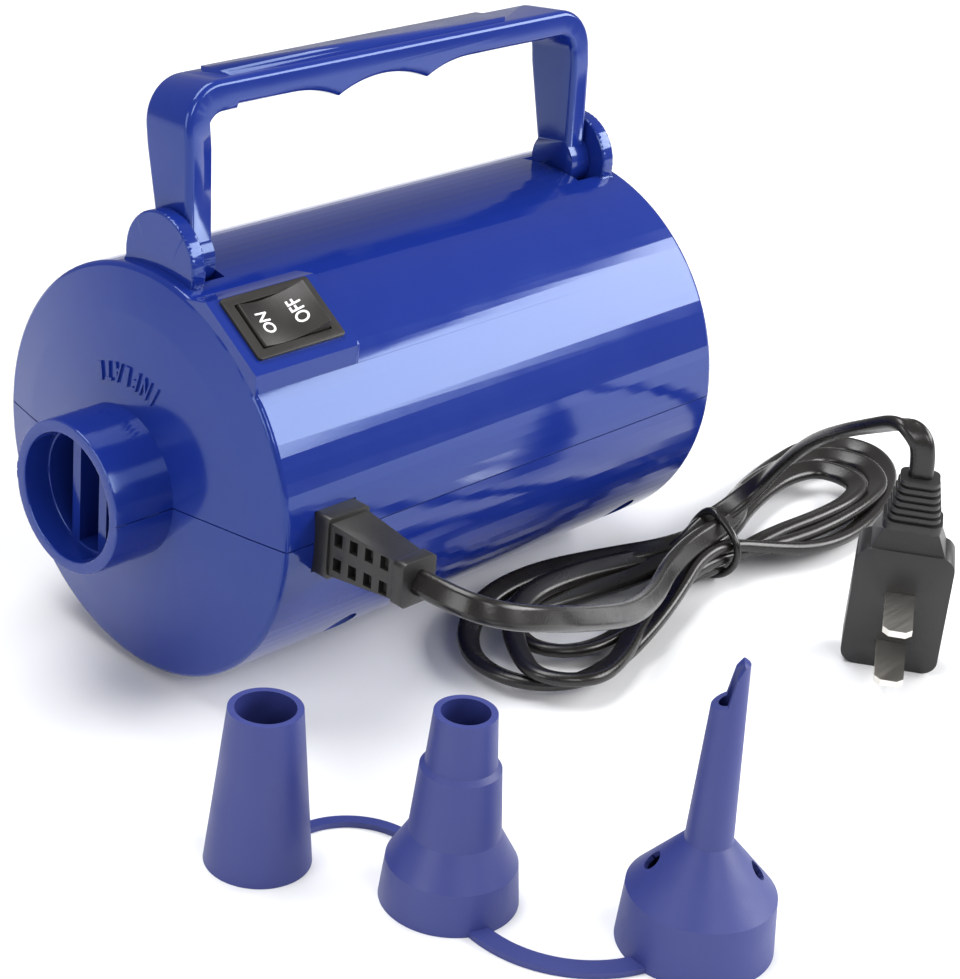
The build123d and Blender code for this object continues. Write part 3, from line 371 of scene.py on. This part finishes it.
# The cord is one spline from the strain relief, through the tied hank, to the plug.
cordSetup = {
    "width": 5.4 * mm,
    "thickness": 2.9 * mm,
    "length": 1.21,
    "sides": 20,
    "leadTilt": 62,
    "hankTilt": 24,
    "leadShare": 0.11,  # share of the length where the lead meets the hank
    "tailShare": 0.94,  # share where the cord turns into the plug
    "easeShare": 0.05,
    "turnKept": 0.65,
    "dip": 0.90,
}
leadRoute = [(-51.95, -67.5, 46), (-51.95, -78, 46), (-46, -85, 44), (-33, -86, 39.5), (-14, -81, 31),
             (6, -75, 22.5), (25, -66, 16.5), (42, -56, 13.5)]
hankRoute = [
    (56, -51.2, 13), (68, -49.5, 12.9),
    (80, -46, 12), (92, -37, 8.5), (108, -29, 4.5), (124, -24.5, 3.2), (138, -22.5, 3.2), (149, -26, 3.2),
    (152, -34, 3.2), (147, -43, 3.2), (137, -50, 3.2), (124, -56, 3.2), (108, -60, 3.2), (94, -60, 4), (82, -55.5, 6),
    (68, -51.4, 9.6),
    (56, -52.5, 9.5), (44, -57.5, 7.5), (30, -62, 5), (14, -66, 3.4), (0, -66, 3.2), (-9, -58, 3.2),
    (-10, -46, 3.4), (-2, -36, 4.5), (12, -30, 5.5), (28, -30, 6), (44, -36, 7), (57, -44, 9),
    (68, -45.6, 9.8),
    (80, -42.5, 9.5), (94, -35.5, 7.5), (110, -30, 5.8), (125, -28.5, 5), (137, -29.5, 4.8), (142, -39.5, 4.8),
    (135, -49.5, 4.8), (124, -53, 4.8), (110, -55, 4.8), (96, -55, 4.8), (82, -53, 5),
    (68, -51.4, 6.4),
    (56, -51.5, 6), (43, -54.5, 5), (28, -60, 5.2), (14, -67.5, 5.6), (1, -71, 6), (-8, -62, 6.2),
    (-2, -51, 6.4), (6, -42, 6.6), (18, -36.5, 6.8), (32, -36.5, 6.8), (46, -40, 7), (57, -44, 7),
    (68, -45.6, 6.8),
    (80, -44, 6.5), (92, -38.5, 5.8), (105, -34.5, 5.8), (118, -32.5, 5.8), (128.5, -35, 5.8),
    (129.5, -47, 5.8), (119, -51.5, 5.8),
    (105, -52, 5.8), (91, -50.5, 5.5), (80, -49.5, 4),
    (68, -50.5, 3.2),
    (56, -49.5, 3.2), (44, -51.5, 3.2), (30, -57, 3.2), (17, -58.5, 3.2), (8, -55, 3.2), (5, -47.5, 3.2),
    (9, -40, 3.2),
    (17, -37, 3.2), (32, -39.5, 3.4), (48, -44, 5),
    (60, -46, 9), (68, -45.6, 12.6),
]
tailRoute = [(76, -46.2, 14.5), (82, -49, 20), (83, -54.5, 27.5), (80.5, -61.5, 35.5), (76, -69.5, 42.5),
             (71.5, -78.5, 48.7), (68.6, -86, 53.2), (67.4, -93.3, 57.3), (67.6, -97.5, 56.4),
             (68.1, -100.1, 53.1), (68.27, -100.14, 46.67)]
plugAcross = Vector((0.559, -0.829, 0))


def cordSpline(points):
    curve = bpy.data.curves.new("cordLine", "CURVE")
    curve.dimensions = "3D"
    curve.resolution_u = 10
    spline = curve.splines.new("NURBS")
    spline.points.add(len(points) - 1)
    for point, place in zip(spline.points, points):
        point.co = (place[0] * mm, place[1] * mm, place[2] * mm, 1)
    spline.order_u = 3
    spline.use_endpoint_u = True
    holder = bpy.data.objects.new("cordLine", curve)
    bpy.context.scene.collection.objects.link(holder)
    bpy.context.view_layer.update()
    line = bpy.data.meshes.new_from_object(holder)
    path = [vertex.co.copy() for vertex in line.vertices]
    bpy.data.objects.remove(holder)
    return path


def flatSection(width, thickness, sides):
    # Flat two-core section: straight faces, half-round edges and a faint dip along the middle.
    ring = []
    radius = thickness / 2
    straight = width / 2 - radius
    half = sides // 2
    for end in (1, -1):
        for step in range(half):
            angle = math.pi * (step / (half - 1) - 0.5)
            ring.append((end * (straight + radius * math.cos(angle)), end * radius * math.sin(angle)))
    dipped = []
    for index, (across, up) in enumerate(ring):
        dipped.append((across, up))
        if index in (half - 1, 2 * half - 1):
            dipped.append((0, math.copysign(radius * cordSetup["dip"], up)))
    return dipped


def sweepFlat(path, setup):
    ring = flatSection(setup["width"], setup["thickness"], setup["sides"])
    total = sum((b - a).length for a, b in zip(path, path[1:]))
    verts, faces, run = [], [], 0.0
    up = Vector((0, 0, 1))
    for index, point in enumerate(path):
        before, after = path[max(index - 1, 0)], path[min(index + 1, len(path) - 1)]
        heading = (after - before).normalized()
        if index:
            run += (point - path[index - 1]).length
        share = run / total
        ease = min(max((share - setup["leadShare"]) / setup["easeShare"], 0), 1)
        tilt = math.radians(setup["leadTilt"] + (setup["hankTilt"] - setup["leadTilt"]) * ease)
        outward = up.cross(heading)
        if outward.length < 1e-4:
            outward = plugAcross.copy()
        outward.normalize()
        wide = outward * math.cos(tilt) + up * math.sin(tilt)
        near = min(max((share - setup["tailShare"]) / setup["easeShare"], 0), 1)
        wide = wide.lerp(plugAcross, near * near * (3 - 2 * near))
        wide = (wide - heading * wide.dot(heading)).normalized()
        if index and wide.dot(lastWide) < 0:
            wide = -wide
        if index:
            wide = wide * (1 - setup["turnKept"]) + lastWide * setup["turnKept"]
            wide = (wide - heading * wide.dot(heading)).normalized()
        lastWide = wide
        thin = heading.cross(wide)
        verts += [point + wide * a + thin * b for a, b in ring]
    count = len(ring)
    for index in range(len(path) - 1):
        for side in range(count):
            a, b = index * count + side, index * count + (side + 1) % count
            faces.append((a, b, b + count, a + count))
    faces.append(tuple(reversed(range(count))))
    faces.append(tuple(range((len(path) - 1) * count, len(path) * count)))
    mesh = bpy.data.meshes.new("flatCord")
    mesh.from_pydata(verts, [], faces)
    mesh.update()
    return mesh


cordPath = cordSpline(leadRoute + hankRoute + tailRoute)
cordMesh = sweepFlat(cordPath, cordSetup)
flatCord = bpy.data.objects.new("flatCord", cordMesh)
bpy.context.scene.collection.objects.link(flatCord)
pick(flatCord)
bpy.ops.object.mode_set(mode="EDIT")
bpy.ops.mesh.select_all(action="SELECT")
bpy.ops.mesh.normals_make_consistent(inside=False)
bpy.ops.object.mode_set(mode="OBJECT")
smoothAt(flatCord, 50)
ridingOn(flatCord, "housing", cordSheath)
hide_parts("cord_lead", "cord_hank", "cord_tail")
cordLength = sum((b - a).length for a, b in zip(cordPath, cordPath[1:]))
print("cord length", round(cordLength, 4), "points", len(cordPath))

# The tie goes round the hank's waist.
tieSetup = {"centre": (68, -48.5, 8.4), "halfWidth": 7.3, "halfHeight": 7.6, "wire": 0.9, "loose": 1.02}

deselectAll()
bpy.ops.curve.primitive_bezier_circle_add(radius=1, location=[v * mm for v in tieSetup["centre"]])
cordTie = bpy.context.object
cordTie.name = "cordTieBand"
cordTie.data.bevel_depth = tieSetup["wire"] * mm
cordTie.data.bevel_resolution = 4
cordTie.data.resolution_u = 24
for spot in cordTie.data.splines[0].bezier_points:
    spot.handle_left_type = spot.handle_right_type = "FREE"
    wideSize, tallSize = tieSetup["halfWidth"] * mm, tieSetup["halfHeight"] * mm
    for name in ("handle_left", "co", "handle_right"):
        place = getattr(spot, name)
        setattr(spot, name, (place.x * wideSize * tieSetup["loose"], place.y * tallSize * tieSetup["loose"], place.z))
cordTie.rotation_euler = (math.radians(90), 0, math.radians(90))
deselectAll()
cordTie.select_set(True)
bpy.context.view_layer.objects.active = cordTie
bpy.ops.object.convert(target="MESH")
cordTie = bpy.context.object
settle(cordTie)
smoothAt(cordTie, 60)
ridingOn(cordTie, "housing", tieVinyl)
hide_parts("cord_tie")
print("cord and tie made")


# CAD pieces with softened edges are merged copies that stand for their nodes.
barrelSetup = {"height": 46, "radius": 44, "end": 64.75, "rim": 1.2, "ringRadius": 34.5, "ringRise": 2.0,
               "coneRise": 5.3, "port": 16.1, "bore": 13.5, "duct": 13.0, "pivot": 91.3, "ear": 10.5,
               "pocket": 6.6, "hub": 6.2,
               "rimAlong": 63.776, "innerEnd": 50, "outerEnd": 90, "inflateMouth": 19.35, "deflateMouth": 14.95,
               "earNear": 58.6, "earFar": 62.3, "earFoot": 88, "nozzleWall": 1.3}


def lineNormal(start, end):
    # Outward normal of a profile line from start to end, as (along the axis, away from it).
    along, away = end[0] - start[0], end[1] - start[1]
    size = math.hypot(along, away)
    return -away / size, along / size


def turnedProfile(corners):
    # Profile lines with their normals, the outside on the left of the way they run.
    return [(a, b, lineNormal(a, b)) for a, b in zip(corners, corners[1:])]


def nearLine(spot, start, end, slack=0.035):
    along = (end[0] - start[0], end[1] - start[1])
    size = along[0] ** 2 + along[1] ** 2
    share = ((spot[0] - start[0]) * along[0] + (spot[1] - start[1]) * along[1]) / size
    if share < -0.02 or share > 1.02:
        return False
    gap = abs((spot[0] - start[0]) * along[1] - (spot[1] - start[1]) * along[0]) / math.sqrt(size)
    return gap < slack


def trueRound(piece, turnings, flatOver=None):
    # Give every face that lies on a turned surface that surface's own normals, so that it shines evenly.
    mesh = piece.data
    corners = [corner.vector.copy() for corner in mesh.corner_normals]
    for face in mesh.polygons:
        places = [mesh.vertices[index].co for index in face.vertices]
        found = None
        for centre, axis, lines in turnings:
            spots = []
            for place in places:
                offset = place - centre
                along = offset.dot(axis)
                spots.append((along / mm, (offset - axis * along).length / mm))
            for start, end, normal in lines:
                if all(nearLine(spot, start, end) for spot in spots):
                    found = (centre, axis, normal)
                    break
            if found:
                break
        if not found:
            if flatOver and face.area > flatOver * mm * mm:
                for corner in face.loop_indices:
                    corners[corner] = face.normal.copy()
            continue
        centre, axis, normal = found
        for corner in face.loop_indices:
            offset = mesh.vertices[mesh.loops[corner].vertex_index].co - centre
            away = (offset - axis * offset.dot(axis)).normalized()
            fresh = (axis * normal[0] + away * normal[1]).normalized()
            if fresh.dot(face.normal) < 0.9:
                continue
            corners[corner] = fresh
    mesh.normals_split_custom_set(corners)


def roundedEdges(piece, chooser, width, segments=3):
    # Bevel the edges whose two ends both pass the chooser.
    pick(piece)
    mesh = piece.data
    for face in mesh.polygons:
        face.select = False
    for vertex in mesh.vertices:
        vertex.select = False
    for edge in mesh.edges:
        edge.select = all(chooser(mesh.vertices[index].co / mm) for index in edge.vertices)
    bpy.context.tool_settings.mesh_select_mode = (False, True, False)
    bpy.ops.object.mode_set(mode="EDIT")
    bpy.ops.mesh.bevel(offset=width * mm, segments=segments, affect="EDGES", clamp_overlap=True)
    bpy.ops.object.mode_set(mode="OBJECT")


def softened(nodeName, body, material, width, segments=2, limit=32, smooth=40, turnings=(), choosers=(),
             flatOver=None):
    source = nodes[nodeName]
    piece = bpy.data.objects.new(nodeName + "Soft", source.data.copy())
    bpy.context.scene.collection.objects.link(piece)
    pick(piece)
    bpy.ops.object.mode_set(mode="EDIT")
    bpy.ops.mesh.select_all(action="SELECT")
    bpy.ops.mesh.remove_doubles(threshold=0.000004)
    if width:
        bpy.ops.mesh.dissolve_limited(angle_limit=math.radians(0.6))
    bpy.ops.object.mode_set(mode="OBJECT")
    for chooser, size in choosers:
        roundedEdges(piece, chooser, size)
    if width:
        bevel = piece.modifiers.new("edgeRound", "BEVEL")
        bevel.width = width * mm
        bevel.segments = segments
        bevel.limit_method = "ANGLE"
        bevel.angle_limit = math.radians(limit)
        bevel.use_clamp_overlap = True
    applyAll(piece)
    smoothAt(piece, smooth)
    if turnings:
        trueRound(piece, turnings, flatOver)
    ridingOn(piece, body, material)
    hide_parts(nodeName)
    return piece


def shellTurnings():
    setup = barrelSetup
    axisX = Vector((1, 0, 0))
    end, ring, cone = setup["end"], setup["end"] + setup["ringRise"], setup["end"] + setup["coneRise"]
    rimCentre = (setup["rimAlong"], setup["radius"] - setup["rim"])
    rim = []
    for step in range(7):
        angle = math.radians(90 - 78 * step / 6)
        rim.append((rimCentre[0] + setup["rim"] * math.cos(angle), rimCentre[1] + setup["rim"] * math.sin(angle)))
    outline = [(0, setup["radius"]), (rimCentre[0], setup["radius"])] + rim[1:]
    outline += [(ring, setup["ringRadius"]), (cone, setup["port"])]
    right = turnedProfile(outline)
    right += turnedProfile([(cone - 1, setup["port"]), (setup["outerEnd"], setup["port"])])
    left = [((-b[0], b[1]), (-a[0], a[1]), (-n[0], n[1])) for a, b, n in right]
    near, far = setup["innerEnd"], setup["outerEnd"]
    insides = [(a, b, (0, -1)) for radius in (setup["bore"], setup["duct"])
               for a, b in (((-far, radius), (-near, radius)), ((near, radius), (far, radius)))]
    barrel = (Vector((0, 0, setup["height"] * mm)), axisX, left + right + insides)
    pivot = (Vector((0, 0, setup["pivot"] * mm)), axisX,
             [((-70, setup["ear"]), (70, setup["ear"]), (0, 1)),
              ((-70, setup["pocket"]), (70, setup["pocket"]), (0, -1))])
    return [barrel, pivot]


def onCircle(place, height, radius, slack=0.03):
    return abs(math.hypot(place.y, place.z - height) - radius) < slack


def portLip(place):
    end = barrelSetup["end"]
    mouth = place.x < -end - barrelSetup["inflateMouth"] or place.x > end + barrelSetup["deflateMouth"]
    axis = barrelSetup["height"]
    return mouth and (onCircle(place, axis, barrelSetup["port"]) or onCircle(place, axis, barrelSetup["bore"]))


def earRim(place):
    setup = barrelSetup
    inEar = setup["earNear"] < abs(place.x) < setup["earFar"] and place.z > setup["earFoot"]
    return inEar and onCircle(place, setup["pivot"], setup["ear"])


shellEdges = [(portLip, 0.45), (earRim, 0.5)]
shellRounds = shellTurnings()
for nodeName in ("upper_shell", "lower_shell"):
    softened(nodeName, "housing", blueShell, 0.0, smooth=14, turnings=shellRounds, choosers=shellEdges,
             flatOver=2.5)
print("shells softened")

hubRound = [(Vector((0, 0, barrelSetup["pivot"] * mm)), Vector((1, 0, 0)),
             [((-70, barrelSetup["hub"]), (70, barrelSetup["hub"]), (0, 1))])]
softened("handle", "handle", blueShell, 0.0, smooth=35, turnings=hubRound)


def nozzleTurning(place, outer, wall):
    inner = [(height, radius - wall) for height, radius in outer]
    lines = turnedProfile(outer) + [(a, b, (-n[0], -n[1])) for a, b, n in turnedProfile(inner)]
    return [(Vector((place[0] * mm, place[1] * mm, 0)), Vector((0, 0, 1)), lines)]


nozzleSetup = {
    "cone_nozzle": {"place": (-91.0, -68.5), "outer": [(0, 10.3), (33, 7.1)]},
    "stepped_nozzle": {"place": (-71.5, -100.0),
                       "outer": [(0, 13.2), (8.5, 12.4), (15, 8.7), (28.6, 7.6), (29.6, 6.7), (40, 5.9)]},
    "needle_nozzle": {"place": (-46.0, -138.5), "outer": [(0, 14.8), (11.5, 14.0), (22.5, 4.5), (59, 2.8)]},
}
for nodeName, setup in nozzleSetup.items():
    softened(nodeName, "nozzle_set", blueNozzle, 0.0, smooth=30,
             turnings=nozzleTurning(setup["place"], setup["outer"], barrelSetup["nozzleWall"]))

softEdges = [
    ("strain_relief", "housing", "black_rubber", blackRubber, 0.4),
    ("rocker", "rocker", "black_switch", blackSwitch, 0.25),
    ("switch_bezel", "housing", "black_switch", blackSwitch, 0.2),
    ("plug_body", "housing", "black_plug", plugVinyl, 0.25),
]
for nodeName, body, slotName, material, width in softEdges:
    softened(nodeName, body, material, width)
print("softened pieces made")


# Plain function words, the only lettering.
letterSetup = {
    "faceWord": "INFLATE", "rearWord": "DEFLATE", "capToSize": 1.38,
    "faceSize": 4.0 * mm, "faceRadius": 22.7 * mm, "faceRise": 0.42 * mm, "faceThin": -0.00002,
    "faceMiddle": 90.5, "faceStep": 7.3, "faceNarrow": 0.62,
    "switchSize": 3.0 * mm, "switchRise": 0.09 * mm, "switchNarrow": 0.78, "switchThick": 0.00004,
}


def letterMesh(text, size, rise, narrow, thin):
    deselectAll()
    bpy.ops.object.text_add(location=(0, 0, 0))
    letter = bpy.context.object
    letter.data.body = text
    letter.data.size = size * letterSetup["capToSize"]
    letter.data.extrude = rise
    letter.data.offset = thin
    letter.data.bevel_depth = rise * 0.25
    letter.data.align_x = "CENTER"
    letter.data.align_y = "CENTER"
    bpy.ops.object.convert(target="MESH")
    letter = bpy.context.object
    letter.scale = (narrow, 1, 1)
    return settle(letter)


def faceWord(text, side, name):
    # Letters round a port on the conical end face, tops towards the port.
    half = barrelSetup["end"] * mm
    ringRise, ringRadius = barrelSetup["ringRise"], barrelSetup["ringRadius"]
    slope = math.atan2(barrelSetup["coneRise"] - ringRise, ringRadius - barrelSetup["port"])
    made = []
    for index, character in enumerate(text):
        letter = letterMesh(character, letterSetup["faceSize"], letterSetup["faceRise"],
                            letterSetup["faceNarrow"], letterSetup["faceThin"])
        angle = letterSetup["faceMiddle"] + (index - (len(text) - 1) / 2) * letterSetup["faceStep"]
        radius = letterSetup["faceRadius"]
        ahead = (ringRise + (ringRadius - radius / mm) * math.tan(slope)) * mm
        outward = Vector((0, math.cos(math.radians(angle)) * side, math.sin(math.radians(angle))))
        place = Vector((side * (half + ahead), 0, barrelSetup["height"] * mm)) + outward * radius
        normal = (Vector((side, 0, 0)) + outward * math.tan(slope)).normalized()
        top = -(outward - normal * outward.dot(normal)).normalized()
        along = top.cross(normal)
        turn = Matrix((along, top, normal)).transposed().to_4x4()
        letter.matrix_world = Matrix.Translation(place) @ turn
        settle(letter)
        made.append(letter)
    word = joinAll(made, name)
    smoothAt(word, 30)
    return ridingOn(word, "housing", blueShell)


faceWord(letterSetup["faceWord"], -1, "wordInflate")
faceWord(letterSetup["rearWord"], 1, "wordDeflate")

padSetup = {"tilt": 33, "along": -50.75, "height": 45.8, "shift": 1.0}
padTilt = math.radians(padSetup["tilt"])
padNormal = Vector((0, -math.sin(padTilt), math.cos(padTilt)))
padUp = Vector((0, math.cos(padTilt), math.sin(padTilt)))
padCentre = (Vector((padSetup["along"] * mm, 0, barrelSetup["height"] * mm))
             + padNormal * padSetup["height"] * mm + padUp * padSetup["shift"] * mm)


def switchWord(text, along, lift, lean, name):
    # A word across the rocker's width, its tops towards -X.
    letter = letterMesh(text, letterSetup["switchSize"], letterSetup["switchRise"],
                        letterSetup["switchNarrow"], letterSetup["switchThick"])
    tilt = math.radians(lean)
    normal = (padNormal * math.cos(tilt) + Vector((1, 0, 0)) * math.sin(tilt)).normalized()
    top = (Vector((-1, 0, 0)) * math.cos(tilt) + padNormal * math.sin(tilt)).normalized()
    across = top.cross(normal)
    place = padCentre + Vector((1, 0, 0)) * along * mm + padNormal * lift * mm
    letter.matrix_world = Matrix.Translation(place) @ Matrix((across, top, normal)).transposed().to_4x4()
    settle(letter)
    letter.name = name
    return ridingOn(letter, "rocker", letterWhite)


switchWords = [
    {"text": "ON", "along": -4.21, "lift": 0.43, "lean": 5.2, "name": "wordOn"},
    {"text": "OFF", "along": 3.47, "lift": 1.79, "lean": -25.2, "name": "wordOff"},
]
for word in switchWords:
    switchWord(word["text"], word["along"], word["lift"], word["lean"], word["name"])
print("letters made")
